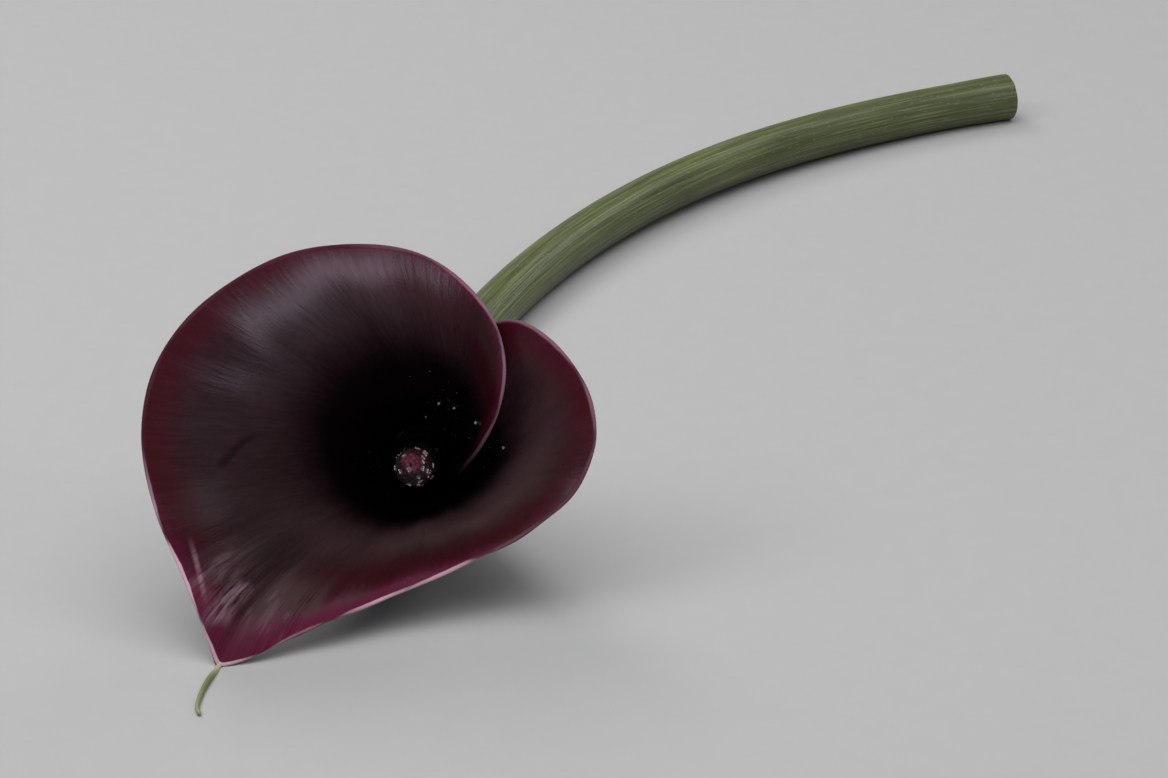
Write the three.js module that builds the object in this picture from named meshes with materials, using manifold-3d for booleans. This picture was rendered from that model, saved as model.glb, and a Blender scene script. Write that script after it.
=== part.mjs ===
// A dark arum lily, cut and laid down: one rolled spathe, its spadix and a curved stem.
// Millimetres, +Z up, origin under the middle of the flower's box, on the surface it lies on.

import * as THREE from 'three';
import { mergeVertices } from 'three/addons/utils/BufferGeometryUtils.js';
import Module from 'manifold-3d';

const wasm = await Module();
wasm.setup();

const TURN = 2 * Math.PI;
const RAD = Math.PI / 180;

// How the flower lies
const BLOOM_PLACE = new THREE.Vector3(-50.2, -65, 6.6); // on the bloom's axis, level with its foot
const BLOOM_RISE = 26 * RAD; // climb of that axis, which runs through the middle of the mouth
const TIP_TURN = 226 * RAD; // direction of the spathe's tip round the bloom's axis

// Spathe
const LEAF_THICK = 1.1;
const BASE_THICK = 0.7;
const MARGIN_THICK = 0.7;
const MIDRIB_THICK = 0.9; // what the midrib adds on the back
const MIDRIB_HALF_WIDTH = 3.5;
const TUBE_INNER_RADIUS = 5.3; // middle of the sheet at the roll's inner end
const ROLL_PITCH = 1.35; // how far the roll grows outwards in one turn at the base
const TUBE_SLOPE = 0.11; // how fast the tube widens
const TUBE_SLOPE_GAIN = 0.07; // and how much faster one turn further out
const FOOT_LIFT = 4.4; // the foot's middle lies this far above the bloom's axis
const FOOT_BEND_HEIGHT = 35; // and from there up the tube follows the axis
const NARROW_REACH = 20; // where the margin stays this close, the tube runs far up
const NARROW_TUBE_SHARE = 0.62;
const WIDE_REACH = 58;
const WIDE_TUBE_SHARE = 0.4;
const FLARE_GAIN = 1.5; // the rim leans this much more than the wall below it
const FLARE_PULL = 0.38;
const SOFT_REACH = 0.21; // share of the margin that evens out the tip's corner for the wall below
const SOFT_END = 0.6; // this far along the margin nothing is evened out any more
const RIM_POWER = 5; // how close to the edge the margin's corners keep
const FOLD_COUNT = 11; // soft lengthwise folds on each half
const FOLD_DEPTH = 0.22;
const GROUND_CLEAR = 0.22; // lowest the middle of the sheet lies, where the tip rests
const GROUND_EASE = 0.45;
const FOOT_RADIUS = 7.3; // ring that the roll grows from
const FOOT_HEIGHT = 1.6;
const FOOT_SIDES = 30;
const COLUMNS_PER_HALF = 36;
const ROWS = 16;

// The margin, from the tip to where it ends low on the tube: degrees of roll away from
// the tip, distance from the bloom's axis, height above the base
const TIP = [0, 57.6, 70];
const INNER_MARGIN = [
  [-10.4, 54.2, 69.5], [-21, 52.6, 69], [-36, 54.1, 68.4], [-53, 57, 67.2],
  [-67, 58.2, 65.8], [-79, 57.4, 64], [-93, 55.1, 62], [-107, 52.8, 60.3],
  [-122, 49.6, 58.6], [-137.5, 46.4, 57.2], [-150, 42.3, 56], [-165, 36.5, 54.5],
  [-177.5, 30.3, 52], [-192, 22.5, 48], [-208, 15.4, 41], [-226, 10.8, 32],
  [-244, 9, 21.5], [-262, 7.6, 12.5], [-280, 6.3, 5.5], [-292, 5.7, 2.5],
];
const OUTER_MARGIN = [
  [1.8, 55, 69.6], [4.7, 50.4, 68.6], [8, 44.7, 67.2], [14, 38.1, 65],
  [22.5, 32.4, 62.6], [34, 27.7, 60.4], [50, 24.5, 58.6], [72, 23.3, 57.4],
  [92, 25.4, 57], [108, 29, 56.9], [125, 35, 56.8], [139, 39.1, 56.5],
  [146, 40.5, 56.2], [159, 41.5, 55.4], [174, 41, 54.2], [187, 39.6, 52.2],
  [195, 36, 48], [203, 29, 41.5], [211, 21.5, 33], [219, 15.5, 21],
  [228, 11.3, 11], [238, 8.3, 3],
];

// Tail at the tip: where it grows out of the midrib, and the way of its middle from the
// tip, sideways, outwards and above the surface
const TAIL_ROOTS = [0.95, 0.98];
const TAIL_WAY = [
  [-0.3, -0.9, 0.2], [-1.5, -5.4, 0.4], [-2.8, -12, 0.5], [-3.2, -18, 0.5], [-2.4, -21, 0.6],
];
const TAIL_ROOT_RADIUS = 0.4; // within the sheet
const TAIL_RADIUS = 0.95;
const TAIL_END_RADIUS = 0.45;
const TAIL_SIDES = 10;
const TAIL_STEPS = 16;

// Spadix
const SPADIX_START = 4.4;
const SPADIX_LENGTH = 46;
const SPADIX_RADIUS = 4;
const SPADIX_LIFT = 0.2; // how far its tip leans up out of the tube's axis
const SPADIX_ROUND_FROM = 0.85; // share of its length where its end begins to round off
const FLORETS_ROUND = 9;
const FLORET_ROWS = 18;
const FLORET_DEPTH = 0.55;
const STEPS_ROUND_FLORET = 3;
const STEPS_ALONG_FLORET = 2;

// Stem
const STEM_RADIUS = 6;
const SHOULDER_RADIUS = 7.1; // under the spathe
const SHOULDER_FADE = 16;
const CUT_RADIUS = 6.3;
const NECK_RADIUS = 4.35; // inside the spathe's foot
const NECK_LENGTH = 4;
const STEM_LENGTH = 290;
const STEM_BEND = 240; // radius of its curve, seen from above
const STEM_ARCH = 0.8; // how far it lifts off the surface between its resting points
const REST_SINK = 0.2; // depth of the flats it rests on
const FIRST_REST = 92; // distances from the bloom
const SECOND_REST = 276;
const RIB_COUNT = 10;
const RIB_DEPTH = 0.12;
const STEM_SIDES = 20;
const STEM_STEPS = 40;

const SEAT_GAP = 0.3; // between pieces that sit on each other

// Small helpers

function lerp(from, to, share) {
  return from + (to - from) * share;
}

function smooth(share) {
  const s = Math.min(1, Math.max(0, share));
  return s * s * (3 - 2 * s);
}

// The shorter way round from one direction to another
function turnBetween(from, to) {
  return to - from - TURN * Math.round((to - from) / TURN);
}

function geometryFrom(points, faces) {
  const geometry = new THREE.BufferGeometry();
  const numbers = points.flatMap((point) => point.toArray());
  geometry.setAttribute('position', new THREE.Float32BufferAttribute(numbers, 3));
  geometry.setIndex(faces);
  return mergeVertices(geometry, 1e-4);
}

// A closed tube along a path. stations are places on it from 0 to 1, and up is the side
// that its first angle starts from
function tubeGeometry(path, stations, up, sides, radiusAt) {
  const points = [];
  const faces = [];
  const side = up.clone();
  stations.forEach((t, i) => {
    const centre = path.getPoint(t);
    const ahead = path.getTangent(t);
    side.addScaledVector(ahead, -side.dot(ahead)).normalize();
    const across = ahead.clone().cross(side);
    for (let j = 0; j < sides; j += 1) {
      const angle = (TURN * j) / sides;
      const out = side.clone().multiplyScalar(Math.cos(angle)).addScaledVector(across, Math.sin(angle));
      points.push(centre.clone().addScaledVector(out, radiusAt(i, angle)));
    }
  });
  const last = stations.length - 1;
  for (let i = 0; i < last; i += 1) {
    for (let j = 0; j < sides; j += 1) {
      const next = (j + 1) % sides;
      const a = i * sides + j;
      const b = i * sides + next;
      const c = a + sides;
      const d = b + sides;
      faces.push(a, b, d, a, d, c);
    }
  }
  const start = points.push(path.getPoint(stations[0])) - 1;
  const end = points.push(path.getPoint(stations[last])) - 1;
  for (let j = 0; j < sides; j += 1) {
    const next = (j + 1) % sides;
    faces.push(start, next, j);
    faces.push(end, last * sides + j, last * sides + next);
  }
  return geometryFrom(points, faces);
}

function evenStations(steps) {
  return Array.from({ length: steps + 1 }, (_, i) => i / steps);
}

// Solids that can be joined and cut

function solidFrom(geometry) {
  const bare = geometry.clone();
  bare.deleteAttribute('normal');
  bare.deleteAttribute('uv');
  const merged = mergeVertices(bare, 1e-4);
  const vertProperties = new Float32Array(merged.attributes.position.array);
  const triVerts = new Uint32Array(merged.index.array);
  return new wasm.Manifold(new wasm.Mesh({ numProp: 3, vertProperties, triVerts }));
}

function geometryOf(solid) {
  const mesh = solid.getMesh();
  const geometry = new THREE.BufferGeometry();
  geometry.setAttribute('position', new THREE.BufferAttribute(mesh.vertProperties, 3));
  geometry.setIndex(new THREE.BufferAttribute(mesh.triVerts, 1));
  geometry.computeVertexNormals();
  return geometry;
}

// Everything below the surface that the flower lies on, as seen by a group's children
function groundSolid(group) {
  const size = 1000;
  const block = new THREE.BoxGeometry(size, size, size / 10);
  block.translate(0, 0, -size / 20);
  block.applyMatrix4(group.matrixWorld.clone().invert());
  return solidFrom(block);
}

// Spathe

function marginPoint([turn, reach, height]) {
  const angle = TIP_TURN + turn * RAD;
  return new THREE.Vector3(reach * Math.cos(angle), reach * Math.sin(angle), height);
}

function marginCurve(knots) {
  return new THREE.CatmullRomCurve3([TIP, ...knots].map(marginPoint), false, 'centripetal');
}

const halves = [
  { side: -1, curve: marginCurve(INNER_MARGIN), roll: -INNER_MARGIN.at(-1)[0] * RAD },
  { side: 1, curve: marginCurve(OUTER_MARGIN), roll: OUTER_MARGIN.at(-1)[0] * RAD },
];

function rimAt(across) {
  const bounded = Math.min(1, Math.max(-1, across));
  return halves[bounded < 0 ? 0 : 1].curve.getPointAt(Math.abs(bounded));
}

// The margin with its corner at the tip evened out, for the wall below it
function softRimAt(across) {
  const soft = new THREE.Vector3();
  const reach = SOFT_REACH * (1 - smooth(Math.abs(across) / SOFT_END));
  const shares = [-1, -0.75, -0.5, -0.25, 0, 0.25, 0.5, 0.75, 1];
  shares.forEach((share) => soft.add(rimAt(across + share * reach)));
  return soft.divideScalar(shares.length);
}

// One vein of the spathe: from the roll at its foot up the tube and out to the margin.
// across runs from -1 at the inner margin's end, over 0 at the midrib, to 1
function vein(across) {
  const half = halves[across < 0 ? 0 : 1];
  const rim = rimAt(across);
  const footTurn = half.side * half.roll * Math.abs(across);
  const rolled = (footTurn + halves[0].roll) / TURN;
  const footRadius = TUBE_INNER_RADIUS + ROLL_PITCH * rolled;
  const slope = TUBE_SLOPE + TUBE_SLOPE_GAIN * rolled;
  const soft = softRimAt(across);
  const reach = Math.hypot(soft.x, soft.y);
  const swing = turnBetween(TIP_TURN + footTurn, Math.atan2(soft.y, soft.x));
  const twist = turnBetween(Math.atan2(soft.y, soft.x), Math.atan2(rim.y, rim.x));
  const wide = smooth((reach - NARROW_REACH) / (WIDE_REACH - NARROW_REACH));
  const tubeTop = lerp(NARROW_TUBE_SHARE, WIDE_TUBE_SHARE, wide) * soft.z;
  const tubeTopRadius = footRadius + slope * tubeTop;
  const lean = FLARE_GAIN * Math.atan2(reach - tubeTopRadius, soft.z - tubeTop);
  const pull = FLARE_PULL * Math.hypot(reach - tubeTopRadius, soft.z - tubeTop);
  const profile = new THREE.CubicBezierCurve(
    new THREE.Vector2(footRadius, 0),
    new THREE.Vector2(tubeTopRadius, tubeTop),
    new THREE.Vector2(reach - pull * Math.sin(lean), soft.z - pull * Math.cos(lean)),
    new THREE.Vector2(reach, soft.z),
  );
  const stretch = new THREE.Vector2(Math.hypot(rim.x, rim.y) - reach, rim.z - soft.z);
  return { profile, stretch, footTurn, swing, twist };
}

// The tube's middle lies above the bloom's axis at the foot and eases down to it
function bow(height) {
  return FOOT_LIFT * Math.max(0, 1 - height / FOOT_BEND_HEIGHT) ** 3;
}

function bowSlope(height) {
  return (-3 * FOOT_LIFT * Math.max(0, 1 - height / FOOT_BEND_HEIGHT) ** 2) / FOOT_BEND_HEIGHT;
}

// The tip bends where it meets the surface and lies along it
function restOnGround(point) {
  const up = new THREE.Vector3(0, Math.cos(BLOOM_RISE), Math.sin(BLOOM_RISE));
  const above = BLOOM_PLACE.z + point.dot(up) - GROUND_CLEAR;
  const eased = (above + Math.hypot(above, GROUND_EASE)) / 2;
  return point.addScaledVector(up, eased - above);
}

function sheetPoint(across, along) {
  const { profile, stretch, footTurn, swing, twist } = vein(across);
  const nearRim = along ** RIM_POWER;
  const { x: radius, y: height } = profile.getPoint(along).addScaledVector(stretch, nearRim);
  const angle = TIP_TURN + footTurn + swing * smooth(along) + twist * nearRim;
  const slope = bowSlope(height);
  const upwards = (radius * Math.sin(angle)) / Math.hypot(1, slope);
  return restOnGround(new THREE.Vector3(
    radius * Math.cos(angle),
    bow(height) + upwards,
    height - slope * upwards,
  ));
}

function sheetNormal(across, along) {
  const step = 0.004;
  const left = sheetPoint(Math.max(-1, across - step), along);
  const right = sheetPoint(Math.min(1, across + step), along);
  const below = sheetPoint(across, Math.max(0, along - step));
  const above = sheetPoint(across, Math.min(1, along + step));
  return right.sub(left).cross(above.sub(below)).normalize();
}

function sheetThickness(across, along) {
  const body = lerp(BASE_THICK, LEAF_THICK, smooth(along / 0.35));
  return lerp(body, MARGIN_THICK, smooth((along - 0.75) / 0.25));
}

function foldHeight(across, along) {
  const fade = smooth(along / 0.5) * (1 - Math.abs(across)) ** 0.5;
  return FOLD_DEPTH * fade * Math.cos(TURN * FOLD_COUNT * across);
}

function midribHeight(across, point, along) {
  const rib = sheetPoint(0, along);
  const away = rib.distanceTo(point) / MIDRIB_HALF_WIDTH;
  return MIDRIB_THICK * Math.exp(-away * away) * smooth(along / 0.3);
}

// Both faces of the sheet carry the same grid, split alike, and are closed round the edge
function spatheSheet() {
  const columns = 2 * COLUMNS_PER_HALF;
  const width = columns + 1;
  const points = [];
  const back = width * (ROWS + 1);
  for (const face of [0.5, -0.5]) {
    for (let row = 0; row <= ROWS; row += 1) {
      for (let column = 0; column <= columns; column += 1) {
        const across = column / COLUMNS_PER_HALF - 1;
        const along = row / ROWS;
        const point = sheetPoint(across, along);
        const normal = sheetNormal(across, along);
        const outside = face > 0 ? midribHeight(across, point, along) : 0;
        const offset = foldHeight(across, along) + face * sheetThickness(across, along) + outside;
        points.push(point.addScaledVector(normal, offset));
      }
    }
  }
  const faces = [];
  const quad = (a, b, c, d) => faces.push(a, b, c, a, c, d);
  for (let row = 0; row < ROWS; row += 1) {
    for (let column = 0; column < columns; column += 1) {
      const a = row * width + column;
      const b = a + 1;
      const c = b + width;
      const d = a + width;
      quad(a, b, c, d);
      quad(back + a, back + d, back + c, back + b);
    }
  }
  const top = ROWS * width;
  for (let column = 0; column < columns; column += 1) {
    quad(column, back + column, back + column + 1, column + 1);
    quad(top + column, top + column + 1, back + top + column + 1, back + top + column);
  }
  for (let row = 0; row < ROWS; row += 1) {
    const a = row * width;
    const b = a + columns;
    quad(a, a + width, back + a + width, back + a);
    quad(b, back + b, back + b + width, b + width);
  }
  return geometryFrom(points, faces);
}

// The slender tail beyond the tip, lying along the surface with a small hook
function buildTail(bloom) {
  const tip = bloom.localToWorld(sheetPoint(0, 1));
  const sink = FOLD_DEPTH + TAIL_RADIUS / 2;
  const sunk = (along) => sheetPoint(0, along).addScaledVector(sheetNormal(0, along), sink);
  const roots = TAIL_ROOTS.map(sunk);
  const lying = ([x, y, z]) => bloom.worldToLocal(new THREE.Vector3(tip.x + x, tip.y + y, z));
  const radiusAt = (i) => {
    const t = i / TAIL_STEPS;
    return lerp(TAIL_ROOT_RADIUS, lerp(TAIL_RADIUS, TAIL_END_RADIUS, smooth(t)), smooth(t / 0.4));
  };
  const path = new THREE.CatmullRomCurve3([...roots, ...TAIL_WAY.map(lying)]);
  const up = new THREE.Vector3(0, 0, 1);
  return tubeGeometry(path, evenStations(TAIL_STEPS), up, TAIL_SIDES, radiusAt);
}

// The ring at the spathe's foot, round the stem's neck
function buildFoot() {
  const inner = NECK_RADIUS + SEAT_GAP;
  const outline = [
    new THREE.Vector2(inner, 0),
    new THREE.Vector2(FOOT_RADIUS, 0),
    new THREE.Vector2(FOOT_RADIUS, FOOT_HEIGHT),
    new THREE.Vector2(inner, FOOT_HEIGHT),
    new THREE.Vector2(inner, 0),
  ];
  const ring = new THREE.LatheGeometry(outline, FOOT_SIDES);
  ring.rotateX(Math.PI / 2 - Math.atan(bowSlope(0)));
  ring.translate(0, bow(0), 0);
  return ring;
}

function buildSpathe(bloom) {
  const solid = solidFrom(spatheSheet()).add(solidFrom(buildFoot())).add(solidFrom(buildTail(bloom)));
  return geometryOf(solid.subtract(groundSolid(bloom)));
}

// Spadix

class SpadixPath extends THREE.Curve {
  getPoint(t, target = new THREE.Vector3()) {
    const height = SPADIX_START + SPADIX_LENGTH * t;
    return target.set(0, bow(height) + SPADIX_LIFT * t * t, height);
  }
}

function buildSpadix() {
  const steps = FLORET_ROWS * STEPS_ALONG_FLORET;
  const sides = FLORETS_ROUND * STEPS_ROUND_FLORET;
  const radiusAt = (i, angle) => {
    const t = i / steps;
    const past = Math.max(0, (t - SPADIX_ROUND_FROM) / (1 - SPADIX_ROUND_FROM));
    const rounding = Math.sqrt(Math.max(0.02, 1 - past * past));
    const bump = Math.cos(FLORETS_ROUND * angle) * Math.cos((Math.PI * i) / STEPS_ALONG_FLORET);
    return (SPADIX_RADIUS + FLORET_DEPTH * bump) * rounding;
  };
  const up = new THREE.Vector3(0, 1, 0);
  return tubeGeometry(new SpadixPath(), evenStations(steps), up, sides, radiusAt);
}

// Stem

// From the neck inside the spathe's foot, down to the surface and along it in one curve
class StemPath extends THREE.Curve {
  constructor(bloom) {
    super();
    this.foot = bloom.localToWorld(new THREE.Vector3(0, bow(0), 0));
    this.rise = BLOOM_RISE + Math.atan(bowSlope(0));
  }

  getPoint(t, target = new THREE.Vector3()) {
    const along = t * (NECK_LENGTH + STEM_LENGTH) - NECK_LENGTH;
    const neck = Math.max(0, -along);
    const run = Math.max(0, along);
    const wave = (1 - Math.cos((TURN * (run - FIRST_REST)) / (SECOND_REST - FIRST_REST))) / 2;
    const level = STEM_RADIUS - REST_SINK + STEM_ARCH * wave;
    const drop = this.foot.z - level;
    const dropLength = (2 * drop) / Math.tan(this.rise);
    const down = Math.max(0, 1 - run / dropLength) ** 2;
    return target.set(
      this.foot.x + STEM_BEND * (1 - Math.cos(run / STEM_BEND)),
      this.foot.y + STEM_BEND * Math.sin(run / STEM_BEND) - neck * Math.cos(this.rise),
      level + drop * down + neck * Math.sin(this.rise),
    );
  }
}

function buildStem(bloom) {
  const total = NECK_LENGTH + STEM_LENGTH;
  const at = (distance) => (distance + NECK_LENGTH) / total;
  const stations = [at(-NECK_LENGTH), at(SEAT_GAP - 0.02), at(SEAT_GAP)];
  for (let step = 1; step <= STEM_STEPS; step += 1) {
    stations.push(at(STEM_LENGTH * (step / STEM_STEPS) ** 1.15));
  }
  const radiusAt = (i, angle) => {
    if (i < 2) {
      return NECK_RADIUS;
    }
    const run = stations[i] * total - NECK_LENGTH;
    const body = lerp(SHOULDER_RADIUS, STEM_RADIUS, smooth(run / SHOULDER_FADE));
    const cut = (CUT_RADIUS - STEM_RADIUS) * smooth((run - STEM_LENGTH + 20) / 20);
    return body + cut + RIB_DEPTH * Math.cos(RIB_COUNT * angle);
  };
  const up = new THREE.Vector3(0, 0, 1);
  const tube = tubeGeometry(new StemPath(bloom), stations, up, STEM_SIDES, radiusAt);
  return geometryOf(solidFrom(tube).subtract(groundSolid(new THREE.Group())));
}

// Assembly

function piece(name, geometry, look) {
  const mesh = new THREE.Mesh(geometry, new THREE.MeshStandardMaterial(look));
  mesh.name = name;
  return mesh;
}

const flower = new THREE.Group();
const bloom = new THREE.Group();
bloom.position.copy(BLOOM_PLACE);
bloom.rotation.x = Math.PI / 2 - BLOOM_RISE;
flower.add(bloom);
flower.updateMatrixWorld();

bloom.add(piece('spathe', buildSpathe(bloom), { color: 0x2a0714, roughness: 0.42, metalness: 0 }));
bloom.add(piece('spadix', buildSpadix(), { color: 0x5c1a26, roughness: 0.7, metalness: 0 }));
flower.add(piece('stem', buildStem(bloom), { color: 0x5a6b34, roughness: 0.5, metalness: 0 }));

export default flower;
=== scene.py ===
# A dark arum lily, cut and laid down, with the camera looking straight into its mouth.
# Metres, +Z up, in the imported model's frame. The bloom has a frame of its own as well:
# x to the right and y up as the camera sees it, and z out of the foot towards the mouth.

import math

import bmesh
import bpy
import numpy as np
from mathutils import Matrix, Vector, kdtree


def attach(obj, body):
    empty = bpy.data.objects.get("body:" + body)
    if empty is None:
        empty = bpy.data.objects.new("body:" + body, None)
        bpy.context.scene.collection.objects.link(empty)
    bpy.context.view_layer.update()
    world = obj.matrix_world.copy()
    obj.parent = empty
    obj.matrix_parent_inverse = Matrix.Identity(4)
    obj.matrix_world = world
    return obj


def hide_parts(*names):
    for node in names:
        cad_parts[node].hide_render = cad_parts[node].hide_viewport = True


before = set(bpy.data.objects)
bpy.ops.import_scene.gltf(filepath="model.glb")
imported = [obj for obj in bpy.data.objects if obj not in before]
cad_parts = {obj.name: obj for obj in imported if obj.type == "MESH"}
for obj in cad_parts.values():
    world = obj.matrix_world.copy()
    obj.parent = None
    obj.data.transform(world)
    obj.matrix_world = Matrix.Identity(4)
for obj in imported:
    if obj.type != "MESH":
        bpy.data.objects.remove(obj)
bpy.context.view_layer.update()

TURN = 2 * math.pi

# Seed of the spadix's random numbers. The stem, the pollen and the dusting use the next three.
SEED = 7

# How the flower lies: the place of its foot, the rise of the bloom and the turn of its tip
BLOOM_PLACE = Vector((-0.0502, -0.065, 0.0066))
BLOOM_RISE = math.radians(26)
TIP_TURN = math.radians(226)

# Below this height of the bloom its axis bows up towards the foot
FOOT_LIFT = 0.0044
FOOT_BEND_HEIGHT = 0.035

# The sheet's middle is pressed up to stay this clear of the ground, with a soft bend
GROUND_CLEAR = 0.00022
GROUND_EASE = 0.00045

# Spathe: its thickness from the foot to the margin, and the midrib on its back
BASE_THICK = 0.0007
LEAF_THICK = 0.0011
MARGIN_THICK = 0.0007
FULL_THICK_FROM = 0.35
THINNING_FROM = 0.75
MIDRIB_THICK = 0.0009
MIDRIB_HALF_WIDTH = 0.0035
MIDRIB_FULL_FROM = 0.3

# The tube into which it is rolled, and how it flares from there to the margin
TUBE_INNER_RADIUS = 0.0053
ROLL_PITCH = 0.00135
TUBE_SLOPE = 0.11
TUBE_SLOPE_GAIN = 0.07
NARROW_REACH = 0.020
NARROW_TUBE_SHARE = 0.62
WIDE_REACH = 0.058
WIDE_TUBE_SHARE = 0.4
FLARE_GAIN = 1.5
FLARE_PULL = 0.38
SOFT_REACH = 0.21
SOFT_END = 0.6
SOFT_SAMPLES = 9
RIM_POWER = 5

# Folds along the veins, with starts and ramps as shares of the way to the margin
FOLD_COUNT = 11
FOLD_DEPTH = 0.00022
FOLD_RAMP = 0.5
TIP_FOLD_GAIN = 1.3
TIP_FOLD_REACH = 0.17
TIP_FOLD_START = 0.6
TIP_FOLD_RAMP = 0.25
TIP_FOLD_END_RAMP = 0.08

# A slighter unevenness: waves by their radians across, along and at the start
UNEVEN_DEPTH = 0.00011
UNEVEN_WAVES = ((37, 2.1, 0), (61, -3.4, 1))

# The callus round the stem at the foot: radius and height of its outline
FOOT_RING = (
    (0.0046, 0), (0.0073, 0), (0.0074, 0.0006),
    (0.0072, 0.0013), (0.0066, 0.0021), (0.0046, 0.0021),
)
FOOT_SIDES = 96

# How finely the spathe is meshed and measured
COLUMNS_PER_HALF = 150
ROWS = 84
LIP_STEPS = 6
CURVE_STEPS = 24
DIRECTION_STEP = 0.004
RIM_SAMPLES = 801

# This share of the margin, to each side of a point, belongs to the point's layer of the roll
OWN_LAYER = 0.3

# Stands for the distance to margin and tip where it doesn't matter
FAR = 0.05

# Across runs from -1 at the margin's inner end over 0 at the tip to 1 at its outer end, and along
# from 0 at the foot to 1 at the margin. The margin's points from the tip to both its ends:
# degrees of roll away from the tip, distance from the bloom's axis, height above the foot
TIP = (0, 0.0576, 0.070)
INNER_MARGIN = (
    (-10.4, 0.0542, 0.0695), (-21, 0.0526, 0.069), (-36, 0.0541, 0.0684), (-53, 0.057, 0.0672),
    (-67, 0.0582, 0.0658), (-79, 0.0574, 0.064), (-93, 0.0551, 0.062), (-107, 0.0528, 0.0603),
    (-122, 0.0496, 0.0586), (-137.5, 0.0464, 0.0572), (-150, 0.0423, 0.056), (-165, 0.0365, 0.0545),
    (-177.5, 0.0303, 0.052), (-192, 0.0225, 0.048), (-208, 0.0154, 0.041), (-226, 0.0108, 0.032),
    (-244, 0.009, 0.0215), (-262, 0.0076, 0.0125), (-280, 0.0063, 0.0055), (-292, 0.0057, 0.0025),
)
OUTER_MARGIN = (
    (1.8, 0.055, 0.0696), (4.7, 0.0504, 0.0686), (8, 0.0447, 0.0672), (14, 0.0381, 0.065),
    (22.5, 0.0324, 0.0626), (34, 0.0277, 0.0604), (50, 0.0245, 0.0586), (72, 0.0233, 0.0574),
    (92, 0.0254, 0.057), (108, 0.029, 0.0569), (125, 0.035, 0.0568), (139, 0.0391, 0.0565),
    (146, 0.0405, 0.0562), (159, 0.0415, 0.0554), (174, 0.041, 0.0542), (187, 0.0396, 0.0522),
    (195, 0.036, 0.048), (203, 0.029, 0.0415), (211, 0.0215, 0.033), (219, 0.0155, 0.021),
    (228, 0.0113, 0.011), (238, 0.0083, 0.003),
)

# The magenta band and the pale line along the margin, as (share across, strength)
MAGENTA_BAND = (
    (-1, 0), (-0.86, 0.08), (-0.7, 0.3), (-0.58, 0.32), (-0.45, 0.06), (-0.22, 0.06), (-0.13, 0.4),
    (-0.05, 0.8), (0.04, 1), (0.2, 1), (0.29, 0.55), (0.36, 0.2), (0.5, 0.12), (0.65, 0.2),
    (0.8, 0.1), (1, 0),
)
PALE_LINE = (
    (-1, 0), (-0.86, 0.03), (-0.76, 0.2), (-0.66, 0.28), (-0.58, 0.12), (-0.5, 0.02), (-0.22, 0.02),
    (-0.16, 0.5), (-0.12, 1), (0.03, 1), (0.06, 0.6), (0.09, 0.25), (0.14, 0.3), (0.19, 0.85),
    (0.29, 0.7), (0.34, 0.1), (0.46, 0.06), (0.55, 0.18), (0.66, 0.22), (0.75, 0.1), (1, 0),
)

# How high the throat's black, partly painted shade, reaches: share across, height, height over
# which it fades, and how much painted light the lip of the wall above it gets and how far above it
# reaches
THROAT_TOP = (
    (-1, 0.036, 0.006, 0, 0.024), (-0.75, 0.042, 0.008, 0, 0.024), (-0.5, 0.046, 0.014, 0, 0.024),
    (-0.3, 0.045, 0.018, 0, 0.024), (-0.15, 0.040, 0.016, 0.1, 0.024),
    (-0.03, 0.035, 0.012, 0.3, 0.024), (0.08, 0.032, 0.009, 0.35, 0.024),
    (0.22, 0.026, 0.008, 1, 0.028), (0.32, 0.026, 0.008, 0.8, 0.032),
    (0.5, 0.032, 0.012, 0.55, 0.030), (0.62, 0.036, 0.010, 0, 0.024), (1, 0.040, 0.010, 0, 0.024),
)
LIP_FADE_FROM = 0.5

# Painted highlight strokes near the tip: middle and half width across, nearest and furthest from
# the tip, strength
TIP_HIGHLIGHT_STROKES = (
    (-0.078, 0.006, 0.013, 0.025, 0.35),
    (-0.032, 0.012, 0.009, 0.019, 1),
    (0.030, 0.009, 0.011, 0.020, 0.3),
)

# Where a stroke has faded out, in half widths and in half lengths from its middle
STROKE_OUT_ASIDE = 1.5
STROKE_OUT_AHEAD = 1.2

# A fine painted highlight line beside the inner margin: its distance from it, as a share of that
# from the tip
SIDE_LINE_SHARE = 0.165

# A shallow crease in the left wall, bumped and darkened with painted shade: the middle, slope and
# bend of its line, the shares across where it fades in and out, and the shares along that it fades
# over beside its line
CREASE_ACROSS = -0.214
CREASE_ALONG = 0.755
CREASE_SLOPE = 2.21
CREASE_BEND = -20.6
CREASE_ENDS = (-0.245, -0.226, -0.199, -0.180)
CREASE_WIDTH = (0.034, 0.003)

# Tail: where along the midrib it grows out, and its way from the tip: aside, back, height
TAIL_ROOTS = np.array((0.95, 0.98))
TAIL_WAY = (
    (-0.0003, -0.0009, 0.0), (-0.0015, -0.0054, 0.0004), (-0.0028, -0.012, 0.0005),
    (-0.0032, -0.018, 0.0005), (-0.0024, -0.021, 0.0006),
)
TAIL_ROOT_RADIUS = 0.00032
TAIL_RADIUS = 0.00085
TAIL_END_RADIUS = 0.00045
TAIL_SWELL_FROM = 0.08
TAIL_SWELL_OVER = 0.3
TAIL_ROUND_FROM = 0.96
TAIL_BLUNTNESS = math.sqrt(0.02)
TAIL_SIDES = 20
TAIL_STEPS = 60

# Spadix
SPADIX_START = 0.0044
SPADIX_LENGTH = 0.046
SPADIX_RADIUS = 0.004
SPADIX_LIFT = 0.0002
SPADIX_ROUND_FROM = 0.85
SPADIX_SIDES = 180
SPADIX_STEPS = 250
OUTLINE_SAMPLES = 4001
AREA_SAMPLES = 2000
AXIS_SAMPLES = 400

# Florets: domes of uneven depth, partly sunk into the club
FLORET_PITCH = 0.00125
FLORET_RADIUS = 0.62 * FLORET_PITCH
FLORET_DEPTH = 0.00042
FLORET_SINK = 0.6
FLORET_VARIETY = 0.5
GOLDEN_ANGLE = math.pi * (3 - math.sqrt(5))

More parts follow.
